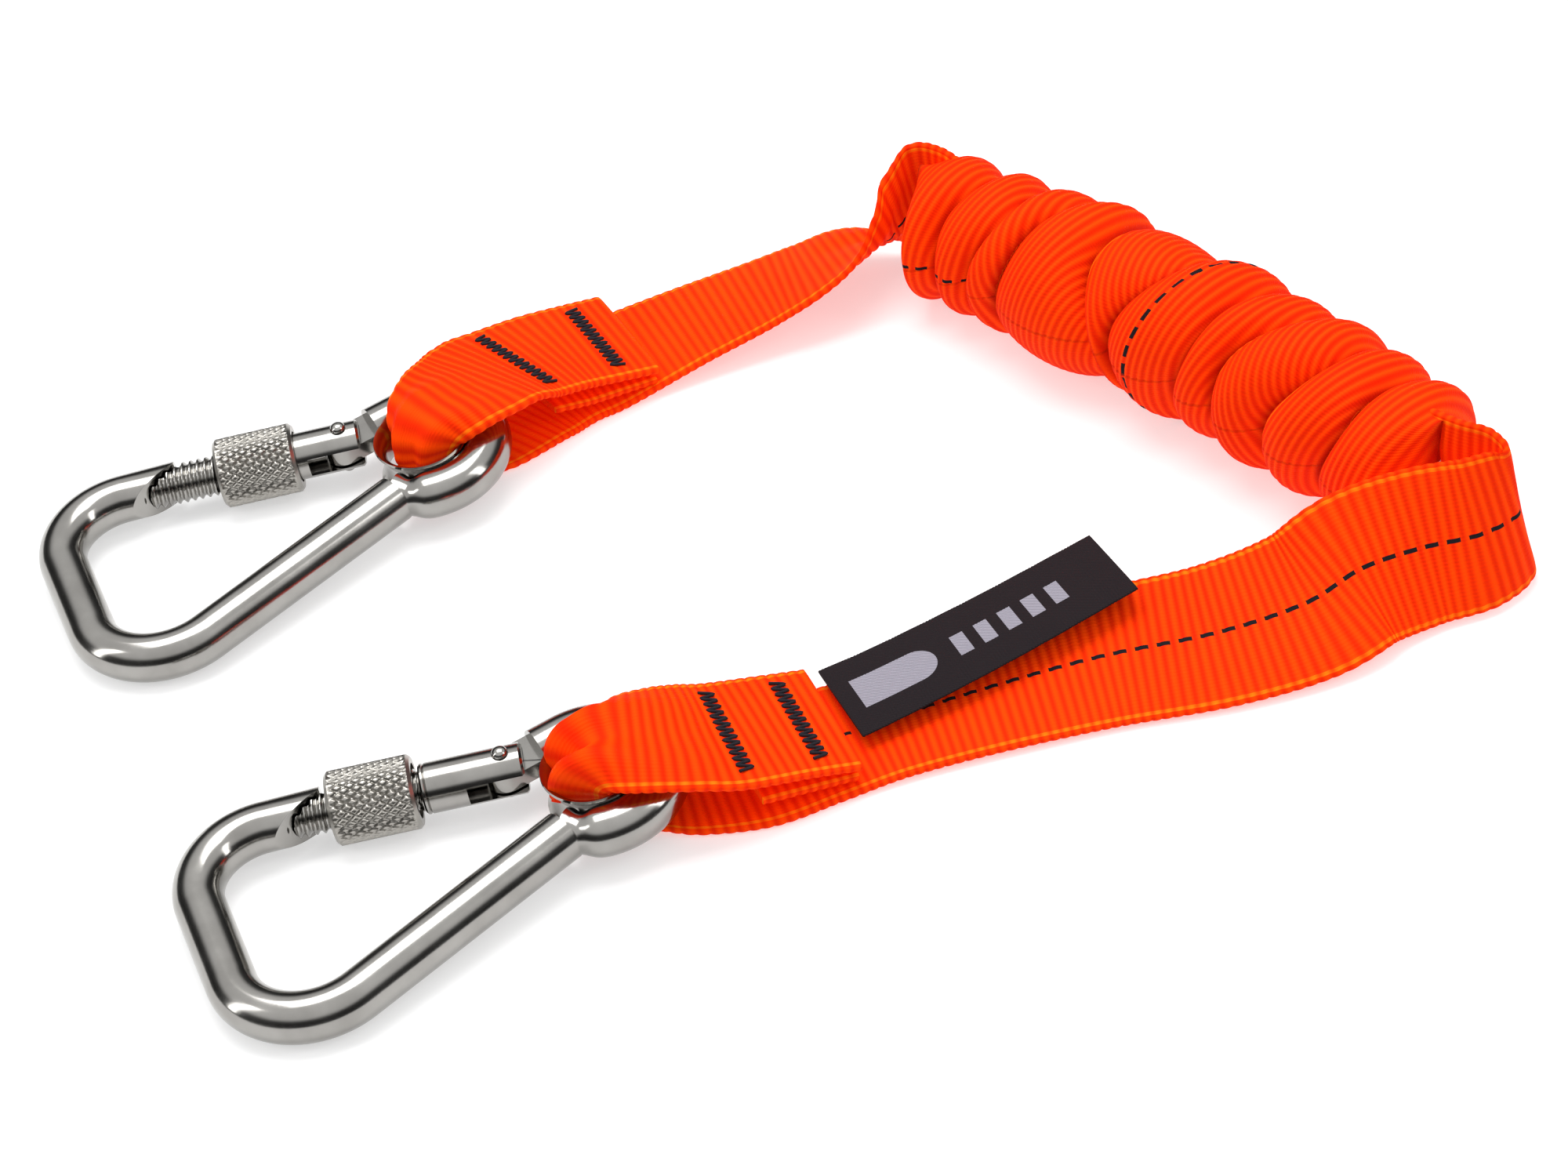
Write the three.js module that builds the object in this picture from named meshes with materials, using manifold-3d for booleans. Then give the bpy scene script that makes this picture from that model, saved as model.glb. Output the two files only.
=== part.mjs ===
// A shock absorbing tool lanyard, as it lies on a bench: tubular webbing gathered over an
// elastic core, looped at each end through the eye of a screw gate carabiner.
// Millimetres, +Z up. The carabiners lie at -X, and the webbing runs out to +X and back.

import * as THREE from "three";
import { mergeVertices } from "three/addons/utils/BufferGeometryUtils.js";
import Module from "manifold-3d";

const wasm = await Module();
wasm.setup();

// ---- driving dimensions ------------------------------------------------------------

const GAP = 0.3; // between pieces that touch

// Carabiner, seen from above: the hinge pin is its origin, and the gate runs along -X.
const WIRE_R = 4;
const WIRE_SIDES = 12;
const NOSE_TIP = [-28.2, -0.2];
const BASKET_CORNERS = [
  [-51.4, -1.4],
  [-40.0, -48.9],
];
const BASKET_RADII = [11.3, 12.3];
const EYE = [13.5, -6];
const EYE_R = 10.8; // of the wire's centreline
const NECK_ANGLE = -120; // where the spine meets the eye
const NECK_OUT = 0.7; // the spine's end stands this far outside the eye's centreline
const NOSE_CUT = { tip: [-28.2, 1], slope: 0.7, length: 9 };

const TONGUE_T = 3;
const TONGUE_R = 3.2;
const TONGUE_FLAT = 2.9; // from the pin to the cam flat that the plunger bears on
const TONGUE_LENGTH = 5.8; // from the pin to the full wire

const PIN_R = 1;
const PIN_HEAD_R = 1.25;
const GATE_R = 4;
const GATE_END = 3.2; // past the pin
const SHOULDER_X = -12.9;
const THREAD_R = 3.4;
const THREAD_END_X = -34.5;
const SLOT_H = TONGUE_T + 2 * GAP;
const SLOT_X = -6;
const PLUNGER = { radius: 1.6, length: 4 };
const SPRING = { radius: 1.3, wire: 0.25, turns: 5, length: 3.6 };

const SLEEVE = { radius: 5.85, length: 13.4, bore: 3.75, counterbore: 4.35, counterDepth: 5.8, bevel: 0.5 };
const SLEEVE_BACK_X = -21.2; // the front face of a sleeve that is screwed back
const SLEEVE_FRONT_X = -27.2; // and of one that is screwed up to the nose

const THIMBLE_R = 8;
const THIMBLE_BORE = 6.05;

// A carabiner rests on its basket and its sleeve, and its eye is raised by the webbing.
const PIN_HEIGHT = 6.86;
const RISE_TO_EYE = 0.0339; // of the carabiner's plane, for each mm along its +X
const RISE_TO_GATE = 0.0418; // and along its +Y

const CARABINERS = [
  { name: "rear", pin: [-68.2, 48.6], turn: 0.9, sleeveX: SLEEVE_BACK_X },
  { name: "front", pin: [-47.1, -37.8], turn: 0.3, sleeveX: SLEEVE_FRONT_X },
];

// Webbing: each station is x, y, z, heading and lean in degrees, and width.
const WEBBING_T = 1.6;
const REAR_WEBBING = [
  [-18, 66.6, 4.9, 20, 0, 25],
  [-24, 64.4, 6.3, 22, 0, 25],
  [-31, 61.6, 8.0, 26, 0, 25],
  [-38, 58.0, 9.8, 32, 0, 24],
  [-42.5, 54.6, 12.0, 40, 0, 19],
  [-46.2, 51.2, 13.0, 45, 0, 15],
  [-50.2, 47.2, 13.1, 45, 0, 11],
  [-53.1, 44.3, 11.2, 45, 0, 10],
  [-53.5, 43.9, 7, 45, 0, 10],
  [-53.1, 44.3, 2.4, 45, 0, 10],
  [-50.2, 47.2, 0.95, 45, 0, 11],
  [-46.2, 51.2, 0.95, 45, 0, 15],
  [-38, 58.0, 0.95, 32, 0, 24],
  [-31, 61.6, 0.95, 26, 0, 25],
  [-24, 64.4, 0.95, 22, 0, 25],
  [-9, 69.0, 1.3, 16, 0, 25],
  [5, 72.3, 2.8, 10, -4, 25],
  [14, 73.3, 5.6, 10, -14, 25],
  [22, 75.2, 9.4, 18, -30, 25],
  [29, 77.6, 12, 16, -52, 25],
  [35.5, 78.6, 13.2, 0, -80, 25],
];
const FRONT_WEBBING = [
  [110.5, -24.5, 13.4, -72, -90, 25],
  [112.4, -29.3, 13.2, -125, -80, 25],
  [106, -32.0, 12.6, -180, -68, 25],
  [97, -31.6, 11.6, -184, -58, 25],
  [87.5, -32.2, 10, -175, -42, 25],
  [78, -35.2, 7.6, -166, -28, 25],
  [64, -36.0, 5.6, -176, -20, 25],
  [46, -35.2, 4.4, -181, -15, 25],
  [28, -35.8, 2.8, -177, -6, 25],
  [12, -37.2, 1.4, -172, 0, 25],
  [0, -39.6, 0.95, -167, 0, 25],
  [-10, -42.0, 0.95, -168, 0, 25],
  [-19, -43.5, 0.95, -174, 0, 20],
  [-25, -43.8, 0.95, -180, 0, 14],
  [-29.5, -43.8, 0.95, -180, 0, 11],
  [-31.8, -43.8, 2.4, -180, 0, 10],
  [-32.2, -43.8, 7, -180, 0, 10],
  [-31.8, -43.8, 11.2, -180, 0, 10],
  [-29.0, -43.8, 13.0, -180, 0, 11],
  [-23.5, -43.8, 12.9, -180, 0, 15],
  [-18.5, -43.4, 11.9, -176, 0, 21],
  [-13, -42.3, 9.8, -170, 0, 25],
  [-4, -39.9, 7.2, -166, 0, 25],
  [3.5, -38.0, 5.0, -166, 0, 25],
];
// The raw end of each flap is folded under and lies between the flap and the leg.
const REAR_FOLD = [
  [-18.5, 66.4, 2.9, 20, 0, 24],
  [-24, 64.4, 3.5, 22, 0, 24],
  [-31, 61.6, 4.4, 26, 0, 24],
  [-37, 58.6, 5.4, 31, 0, 22],
];
const FRONT_FOLD = [
  [3, -38.1, 2.9, -166, 0, 24],
  [-4, -39.9, 4.0, -166, 0, 24],
  [-12, -42.0, 5.4, -170, 0, 24],
];

// Gathered section: x, y and outer radius at each station. Its middle is its radius above the bench.
const GATHERED = [
  [36, 73, 12.2],
  [44, 64, 12.8],
  [52, 54, 13.6],
  [61, 42.5, 14],
  [71, 30, 14],
  [81, 16, 14],
  [90.5, 1.5, 13.8],
  [99, -11.5, 13.2],
  [104, -18.5, 12.6],
];
const GATHERED_BORE = 0.62; // of the outer radius
const GATHERED_SIDES = 16;
const CORE_R = 5;
const CORE_SIDES = 10;

// Bar tacks: the webbing that each is sewn across, and its place there, in stations.
const TACK = { length: 19, width: 2.6, height: 0.5, clear: 0.5 };
const TACKS = {
  rear_tack_outer: [REAR_WEBBING, 3],
  rear_tack_inner: [REAR_WEBBING, 1],
  front_tack_outer: [FRONT_WEBBING, 21],
  front_tack_inner: [FRONT_WEBBING, 22.3],
};

const LABEL = { width: 18, thickness: 0.5 };
const LABEL_ROUTE = [
  [5.2, -34.0, 4.2, 14, -2],
  [15, -31.2, 5.0, 16, -4],
  [32, -26.4, 7.4, 17, -6],
  [51, -20.6, 10.6, 17, -8],
];

// The middle of the two carabiners' box, which is the part's origin.
const ORIGIN = [-69.64, -12.61];

// ---- finishes ----------------------------------------------------------------------

const finish = (color, roughness, metalness) =>
  new THREE.MeshStandardMaterial({ color, roughness, metalness });
const STEEL = finish(0xc9c7c4, 0.18, 1);
const KNURLED = finish(0xb9b5ae, 0.42, 1);
const SPRING_STEEL = finish(0x8d8d8f, 0.35, 1);
const WEBBING = finish(0xff4a05, 0.85, 0);
const CORE = finish(0xe9e4d6, 0.9, 0);
const THREAD = finish(0x141316, 0.8, 0);
const LABEL_CLOTH = finish(0x1a1619, 0.75, 0);

// ---- small tools -------------------------------------------------------------------

const { degToRad } = THREE.MathUtils;

function toSolid(geometry) {
  const bare = (geometry.index ? geometry.toNonIndexed() : geometry.clone())
    .deleteAttribute("normal")
    .deleteAttribute("uv");
  const merged = mergeVertices(bare, 1e-4);
  return new wasm.Manifold(
    new wasm.Mesh({
      numProp: 3,
      vertProperties: merged.attributes.position.array,
      triVerts: new Uint32Array(merged.index.array),
    }),
  );
}

function toGeometry(solid) {
  const { vertProperties, triVerts } = solid.getMesh();
  const geometry = new THREE.BufferGeometry();
  geometry.setAttribute("position", new THREE.BufferAttribute(Float32Array.from(vertProperties), 3));
  geometry.setIndex(new THREE.BufferAttribute(Uint32Array.from(triVerts), 1));
  geometry.computeVertexNormals();
  return geometry;
}

const join = (...parts) => toGeometry(parts.map(toSolid).reduce((a, b) => a.add(b)));
const cut = (part, ...tools) => toGeometry(tools.map(toSolid).reduce((a, b) => a.subtract(b), toSolid(part)));

// A cylinder along X from x0 to x1.
function rodX(radius, x0, x1, sides = 24) {
  return new THREE.CylinderGeometry(radius, radius, Math.abs(x1 - x0), sides)
    .rotateZ(Math.PI / 2)
    .translate((x0 + x1) / 2, 0, 0);
}

// A cylinder along Z, with its middle at z = 0.
const rodZ = (radius, height, sides = 24) =>
  new THREE.CylinderGeometry(radius, radius, height, sides).rotateX(Math.PI / 2);

const box = (x0, x1, y0, y1, z0, z1) =>
  new THREE.BoxGeometry(x1 - x0, y1 - y0, z1 - z0).translate((x0 + x1) / 2, (y0 + y1) / 2, (z0 + z1) / 2);

// A prism that stands through the carabiner's plane.
function prism(points, halfHeight) {
  const shape = new THREE.Shape(points.map(([x, y]) => new THREE.Vector2(x, y)));
  return new THREE.ExtrudeGeometry(shape, { depth: 2 * halfHeight, bevelEnabled: false })
    .translate(0, 0, -halfHeight);
}

function circleShape(radius, sides) {
  const points = Array.from({ length: sides }, (_, i) => {
    const angle = ((i + 0.5) * 2 * Math.PI) / sides;
    return new THREE.Vector2(radius * Math.cos(angle), radius * Math.sin(angle));
  });
  return new THREE.Shape(points);
}

// A 2D path lifted into the plane z = 0, for extruding along.
class FlatCurve extends THREE.Curve {
  constructor(path) {
    super();
    this.path = path;
  }

  getPoint(t, target = new THREE.Vector3()) {
    const { x, y } = this.path.getPoint(t);
    return target.set(x, y, 0);
  }
}

const tubeAlong = (path, radius, sides, steps) =>
  new THREE.ExtrudeGeometry(circleShape(radius, sides), { extrudePath: new FlatCurve(path), steps });

// A path through corners, each rounded to its radius.
function roundedPath(start, corners, radii, end) {
  const points = [start, ...corners, end].map(([x, y]) => new THREE.Vector2(x, y));
  const path = new THREE.Path().moveTo(points[0].x, points[0].y);
  radii.forEach((radius, i) => {
    const corner = points[i + 1];
    const back = points[i].clone().sub(corner).normalize();
    const on = points[i + 2].clone().sub(corner).normalize();
    const half = Math.acos(back.dot(on)) / 2;
    const centre = back.clone().add(on).normalize().multiplyScalar(radius / Math.sin(half)).add(corner);
    const from = back.clone().multiplyScalar(radius / Math.tan(half)).add(corner);
    const to = on.clone().multiplyScalar(radius / Math.tan(half)).add(corner);
    path.lineTo(from.x, from.y);
    const clockwise = back.cross(on) > 0;
    path.absarc(centre.x, centre.y, radius, from.sub(centre).angle(), to.sub(centre).angle(), clockwise);
  });
  return path.lineTo(points.at(-1).x, points.at(-1).y);
}

// A smooth curve through rows of numbers: the first three are a place, the rest go along.
function smoothRows(rows, perSpan) {
  const out = [];
  for (let i = 0; i < rows.length - 1; i++) {
    const [a, b, c, d] = [rows[Math.max(i - 1, 0)], rows[i], rows[i + 1], rows[Math.min(i + 2, rows.length - 1)]];
    for (let k = 0; k < perSpan; k++) {
      const t = k / perSpan;
      out.push(b.map((_, n) => 0.5 * (2 * b[n] + (c[n] - a[n]) * t + (2 * a[n] - 5 * b[n] + 4 * c[n] - d[n]) * t * t
        + (3 * b[n] - a[n] - 3 * c[n] + d[n]) * t ** 3)));
    }
  }
  out.push(rows.at(-1));
  return out;
}

// The middle of a strip at one station, with its directions along, across and up.
function stationFrame(stations, n) {
  const place = (i) => new THREE.Vector3(...stations[THREE.MathUtils.clamp(i, 0, stations.length - 1)].slice(0, 3));
  const [, , , heading, lean, width] = stations[n];
  const along = place(n + 1).sub(place(n - 1)).normalize();
  const across = new THREE.Vector3(0, Math.cos(degToRad(lean)), Math.sin(degToRad(lean)))
    .applyAxisAngle(new THREE.Vector3(0, 0, 1), degToRad(heading));
  const up = along.clone().cross(across).normalize();
  return { centre: place(n), along, across: up.clone().cross(along), up, width };
}

// A flat strip: a box whose length is bent along rows of x, y, z, heading, lean and width.
function strip(rows, thickness, perSpan = 2) {
  const stations = smoothRows(rows, perSpan);
  const last = stations.length - 1;
  const geometry = new THREE.BoxGeometry(last, 1, 1, last, 1, 1);
  const position = geometry.attributes.position;
  for (let i = 0; i < position.count; i++) {
    const { centre, across, up, width } = stationFrame(stations, Math.round(position.getX(i) + last / 2));
    centre.addScaledVector(across, position.getY(i) * width).addScaledVector(up, position.getZ(i) * thickness);
    position.setXYZ(i, centre.x, centre.y, centre.z);
  }
  geometry.computeVertexNormals();
  return geometry;
}

// A round body along rows of x, y and outer radius; radiusAt makes its own radius from that.
function lyingTube(rows, radiusAt, sides, perSpan = 2) {
  const stations = smoothRows(rows, perSpan);
  const last = stations.length - 1;
  const geometry = new THREE.CylinderGeometry(1, 1, last, sides, last);
  const position = geometry.attributes.position;
  for (let i = 0; i < position.count; i++) {
    const n = Math.round(position.getY(i) + last / 2);
    const [x, y, outer] = stations[n];
    const [ax, ay] = stations[Math.max(n - 1, 0)];
    const [bx, by] = stations[Math.min(n + 1, last)];
    const heading = Math.atan2(by - ay, bx - ax);
    const radius = radiusAt(outer);
    const side = position.getX(i) * radius;
    const up = position.getZ(i) * radius;
    position.setXYZ(i, x + side * Math.sin(heading), y - side * Math.cos(heading), outer + up);
  }
  geometry.computeVertexNormals();
  return geometry;
}

function mesh(name, geometry, material) {
  const made = new THREE.Mesh(geometry, material);
  made.name = name;
  return made;
}

// ---- carabiner ---------------------------------------------------------------------

// Where a straight line from the hinge pin touches the eye's centreline.
function tongueAngle() {
  const distance = Math.hypot(...EYE);
  return Math.atan2(-EYE[1], -EYE[0]) - Math.acos(EYE_R / distance);
}

// One bent wire: nose, basket, spine, neck, eye and the flattened tongue that holds the gate.
function wireBody() {
  const neck = degToRad(NECK_ANGLE);
  const spineEnd = EYE.map((c, i) => c + (EYE_R + NECK_OUT) * [Math.cos(neck), Math.sin(neck)][i]);
  const basket = tubeAlong(roundedPath(NOSE_TIP, BASKET_CORNERS, BASKET_RADII, spineEnd), WIRE_R, WIRE_SIDES, 56);
  const angle = tongueAngle();
  const tongueStart = [EYE[0] + EYE_R * Math.cos(angle), EYE[1] + EYE_R * Math.sin(angle)];
  const reach = Math.hypot(...tongueStart);
  const past = 1 + (TONGUE_R + 1) / reach;
  const eyePath = new THREE.Path()
    .absarc(EYE[0], EYE[1], EYE_R, neck, angle, false)
    .lineTo(tongueStart[0] * (1 - past), tongueStart[1] * (1 - past));
  const eye = tubeAlong(eyePath, WIRE_R, WIRE_SIDES, 30);
  const nose = [
    NOSE_CUT.tip,
    [NOSE_CUT.tip[0] - NOSE_CUT.length, NOSE_CUT.tip[1] - NOSE_CUT.slope * NOSE_CUT.length],
    [NOSE_CUT.tip[0] + 1, NOSE_CUT.tip[1] - NOSE_CUT.slope * NOSE_CUT.length],
    [NOSE_CUT.tip[0] + 1, NOSE_CUT.tip[1]],
  ];
  const direction = Math.atan2(tongueStart[1], tongueStart[0]);
  const cheekRoom = [1, -1].map((side) =>
    box(-9, TONGUE_LENGTH, -9, 9, 0, 9).rotateZ(direction).translate(0, 0, side > 0 ? TONGUE_T / 2 : -9 - TONGUE_T / 2));
  const tongueSides = [1, -1].map((side) =>
    box(-9, TONGUE_LENGTH, side > 0 ? TONGUE_R : -9, side > 0 ? 9 : -TONGUE_R, -9, 9).rotateZ(direction));
  const roundEnd = cut(
    box(-9, 0, -9, 9, -9, 9).rotateZ(direction),
    rodZ(TONGUE_R, 20, 32),
  );
  const camFlat = box(-9, -TONGUE_FLAT, -9, 9, -9, 9);
  return cut(
    join(basket, eye),
    prism(nose, 2 * WIRE_R),
    ...cheekRoom,
    ...tongueSides,
    roundEnd,
    camFlat,
    rodZ(PIN_R + GAP + 0.1, 20),
  );
}

// A turned rod: solid where the tongue's clevis is, threaded over its front half.
function gate() {
  const { tip, slope, length } = NOSE_CUT;
  const clear = GAP * Math.hypot(1, slope) + 0.1;
  const lap = [
    [tip[0] + 0.9, tip[1] - clear + 0.9 * slope],
    [tip[0] - length, tip[1] - slope * length - clear],
    [tip[0] - length, 8],
    [tip[0] + 0.9, 8],
  ];
  return cut(
    join(rodX(GATE_R, SHOULDER_X, GATE_END), rodX(THREAD_R, THREAD_END_X, SHOULDER_X + 1)),
    prism(lap, 8),
    box(SLOT_X, 9, -9, 9, -SLOT_H / 2, SLOT_H / 2),
    cut(box(0, 9, -9, 9, -9, 9), rodZ(GATE_R, 20, 32)),
    rodX(PLUNGER.radius + GAP, SHOULDER_X + 1, SLOT_X + 1, 16),
    rodZ(PIN_R + GAP + 0.1, 20),
  );
}

function lathe(points, sides) {
  return new THREE.LatheGeometry(points.map(([r, z]) => new THREE.Vector2(r, z)), sides).rotateX(Math.PI / 2);
}

function hingePin() {
  const seat = GATE_R + GAP;
  const half = [
    [PIN_R, seat],
    [PIN_HEAD_R, seat],
    [PIN_HEAD_R * 0.8, seat + 0.5],
    [0, seat + 0.75],
  ];
  return lathe([...half.map(([r, z]) => [r, -z]).reverse(), ...half], 16);
}

// The screw sleeve: threaded bore in front, and a counterbore that passes over the rod.
function sleeve(frontX) {
  const { radius, length, bore, counterbore, counterDepth, bevel } = SLEEVE;
  const profile = [
    [bore, 0],
    [radius - bevel, 0],
    [radius, bevel],
    [radius, length - bevel],
    [radius - bevel, length],
    [counterbore, length],
    [counterbore, length - counterDepth],
    [bore, length - counterDepth],
    [bore, 0],
  ];
  const geometry = new THREE.LatheGeometry(profile.map(([r, x]) => new THREE.Vector2(r, x)), 32);
  return geometry.rotateZ(-Math.PI / 2).translate(frontX, 0, 0);
}

// A thin flared ring that lines the eye, so that the webbing doesn't chafe on the wire.
function thimble() {
  const outside = [
    [6.5, 0],
    [6.72, 1.2],
    [7.35, 2.5],
    [THIMBLE_R, 3.3],
  ];
  const inside = [
    [THIMBLE_R - 0.1, 3.75],
    [7.0, 3.1],
    [6.3, 1.8],
    [THIMBLE_BORE, 0.6],
  ];
  const half = [...outside, ...inside];
  const lower = half.slice(1).map(([r, z]) => [r, -z]).reverse();
  return lathe([...half, ...lower, half[0]], 32).translate(EYE[0], EYE[1], 0);
}

class Helix extends THREE.Curve {
  getPoint(t, target = new THREE.Vector3()) {
    const angle = 2 * Math.PI * SPRING.turns * t;
    return target.set(SPRING.length * t, SPRING.radius * Math.cos(angle), SPRING.radius * Math.sin(angle));
  }
}

function spring() {
  const rearX = SHOULDER_X + 1 + GAP + SPRING.wire;
  return new THREE.ExtrudeGeometry(circleShape(SPRING.wire, 6), { extrudePath: new Helix(), steps: 10 * SPRING.turns })
    .translate(rearX, 0, 0);
}

const plunger = () => rodX(PLUNGER.radius, -TONGUE_FLAT - GAP - PLUNGER.length, -TONGUE_FLAT - GAP, 16);

// A carabiner in its place: level pieces are tilted so that basket and sleeve touch the bench.
function carabiner({ name, pin, turn, sleeveX }) {
  const group = new THREE.Group();
  const normal = new THREE.Vector3(-RISE_TO_EYE, -RISE_TO_GATE, 1)
    .applyAxisAngle(new THREE.Vector3(0, 0, 1), degToRad(turn))
    .normalize();
  const tilt = new THREE.Quaternion().setFromUnitVectors(new THREE.Vector3(0, 0, 1), normal);
  const spin = new THREE.Quaternion().setFromAxisAngle(new THREE.Vector3(0, 0, 1), degToRad(turn));
  group.quaternion.copy(tilt.multiply(spin));
  group.position.set(pin[0], pin[1], PIN_HEIGHT);
  group.add(
    mesh(`${name}_hook_body`, wireBody(), STEEL),
    mesh(`${name}_gate`, gate(), STEEL),
    mesh(`${name}_screw_sleeve`, sleeve(sleeveX), KNURLED),
    mesh(`${name}_hinge_pin`, hingePin(), STEEL),
    mesh(`${name}_gate_spring`, spring(), SPRING_STEEL),
    mesh(`${name}_plunger`, plunger(), STEEL),
    mesh(`${name}_thimble`, thimble(), STEEL),
  );
  return group;
}

// ---- webbing -----------------------------------------------------------------------

// The webbing is pushed together over the core, as a soft tube that is open at both ends.
function gatheredSleeve() {
  const through = GATHERED.map(([x, y, radius], i) => {
    const isEnd = i === 0 || i === GATHERED.length - 1;
    const [innerX, innerY] = GATHERED[i === 0 ? 1 : i - 1];
    const past = isEnd ? 0.1 : 0;
    return [x + (x - innerX) * past, y + (y - innerY) * past, radius];
  });
  return cut(
    lyingTube(GATHERED, (radius) => radius, GATHERED_SIDES),
    lyingTube(through, (radius) => radius * GATHERED_BORE, GATHERED_SIDES),
  );
}

// A block of thread that lies across the top of a flap. A flap runs back over its leg, so the
// station's own up points down there.
function barTack([rows, station]) {
  const perSpan = 10;
  const { centre, along, across, up } = stationFrame(smoothRows(rows, perSpan), Math.round(station * perSpan));
  const lift = WEBBING_T / 2 + TACK.clear + TACK.height / 2;
  return new THREE.BoxGeometry(TACK.width, TACK.length, TACK.height)
    .applyMatrix4(new THREE.Matrix4().makeBasis(along, across, up))
    .translate(...centre.addScaledVector(up, -lift).toArray());
}

function softGoods() {
  const group = new THREE.Group();
  const label = LABEL_ROUTE.map((row) => [...row, LABEL.width]);
  group.add(
    mesh("rear_webbing", strip(REAR_WEBBING, WEBBING_T), WEBBING),
    mesh("gathered_webbing", gatheredSleeve(), WEBBING),
    mesh("front_webbing", strip(FRONT_WEBBING, WEBBING_T), WEBBING),
    mesh("rear_flap_fold", strip(REAR_FOLD, WEBBING_T), WEBBING),
    mesh("front_flap_fold", strip(FRONT_FOLD, WEBBING_T), WEBBING),
    mesh("elastic_core", lyingTube(GATHERED, () => CORE_R, CORE_SIDES), CORE),
    mesh("label_tag", strip(label, LABEL.thickness), LABEL_CLOTH),
    ...Object.entries(TACKS).map(([name, place]) => mesh(name, barTack(place), THREAD)),
  );
  return group;
}

const lanyard = new THREE.Group();
lanyard.add(...CARABINERS.map(carabiner), softGoods());
lanyard.position.set(-ORIGIN[0], -ORIGIN[1], 0);

const part = new THREE.Group();
part.add(lanyard);
export default part;
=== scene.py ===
"""A shock absorbing tool lanyard: two screw gate carabiners and gathered, ribbed webbing."""

import logging
import math
from dataclasses import dataclass, field
from enum import Enum
from typing import Any, Callable, Sequence

import bpy
import numpy as np
from mathutils import Matrix, Quaternion, Vector

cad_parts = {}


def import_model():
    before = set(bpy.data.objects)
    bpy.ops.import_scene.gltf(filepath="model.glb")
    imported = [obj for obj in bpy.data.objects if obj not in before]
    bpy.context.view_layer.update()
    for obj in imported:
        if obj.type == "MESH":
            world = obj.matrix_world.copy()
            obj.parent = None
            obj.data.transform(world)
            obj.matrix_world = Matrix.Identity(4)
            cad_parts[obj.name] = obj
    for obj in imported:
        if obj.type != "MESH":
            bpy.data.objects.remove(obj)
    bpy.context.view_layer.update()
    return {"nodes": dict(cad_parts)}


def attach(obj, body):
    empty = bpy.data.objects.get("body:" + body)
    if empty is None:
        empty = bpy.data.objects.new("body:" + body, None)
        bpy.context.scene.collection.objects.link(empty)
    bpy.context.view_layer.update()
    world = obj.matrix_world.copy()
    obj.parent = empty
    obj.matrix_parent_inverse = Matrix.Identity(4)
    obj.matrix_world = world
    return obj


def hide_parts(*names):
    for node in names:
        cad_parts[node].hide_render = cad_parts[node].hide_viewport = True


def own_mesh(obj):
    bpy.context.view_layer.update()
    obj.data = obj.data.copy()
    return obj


LOG = logging.getLogger("lanyard")
MM = 0.001
CUT_SHARP = 32.0  # degrees from which the edge of a turned or cut piece is sharp
ORIGIN = np.array([-69.64, -12.61, 0.0])  # of the frame, in the stations' millimetres
Array = np.ndarray
Rows = Sequence[Sequence[float]]
Faces = list[Sequence[int]]
Numbers = dict[str, Array]  # what a mesh stores at its points, by name
Piece = bpy.types.Object
Colour = tuple[float, float, float, float]


# ---- shader expressions ---------------------------------------------------------------


class Value:
    """A shader socket that takes part in Python arithmetic."""

    def __init__(self, paint: "Paint", socket: Any) -> None:
        """Wrap a socket.

        Args:
            paint: The material that the socket belongs to.
            socket: The output socket.
        """
        self.paint = paint
        self.socket = socket

    def _math(self, operation: str, *values: Any) -> "Value":
        """Add one Math node.

        Args:
            operation: The node's operation.
            values: Its inputs, in order.

        Returns:
            The node's result.
        """
        return self.paint.node("ShaderNodeMath", {"operation": operation}, dict(enumerate(values)))

    def __add__(self, other: Any) -> "Value":
        """Add."""
        return self._math("ADD", self, other)

    def __sub__(self, other: Any) -> "Value":
        """Subtract."""
        return self._math("SUBTRACT", self, other)

    def __mul__(self, other: Any) -> "Value":
        """Multiply."""
        return self._math("MULTIPLY", self, other)

    def __truediv__(self, other: Any) -> "Value":
        """Divide."""
        return self._math("DIVIDE", self, other)

    def __gt__(self, other: Any) -> "Value":
        """Be 1 where this is greater, and 0 elsewhere."""
        return self._math("GREATER_THAN", self, other)

    def __lt__(self, other: Any) -> "Value":
        """Be 1 where this is less, and 0 elsewhere."""
        return self._math("LESS_THAN", self, other)

    def __abs__(self) -> "Value":
        """Drop the sign."""
        return self._math("ABSOLUTE", self)

    def at_least(self, low: float) -> "Value":
        """Be no less than a number."""
        return self._math("MAXIMUM", self, low)

    def fraction(self) -> "Value":
        """Keep the part after the point."""
        return self._math("FRACT", self)

    def sine(self) -> "Value":
        """Take the sine."""
        return self._math("SINE", self)

    __radd__ = __add__
    __rmul__ = __mul__


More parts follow.
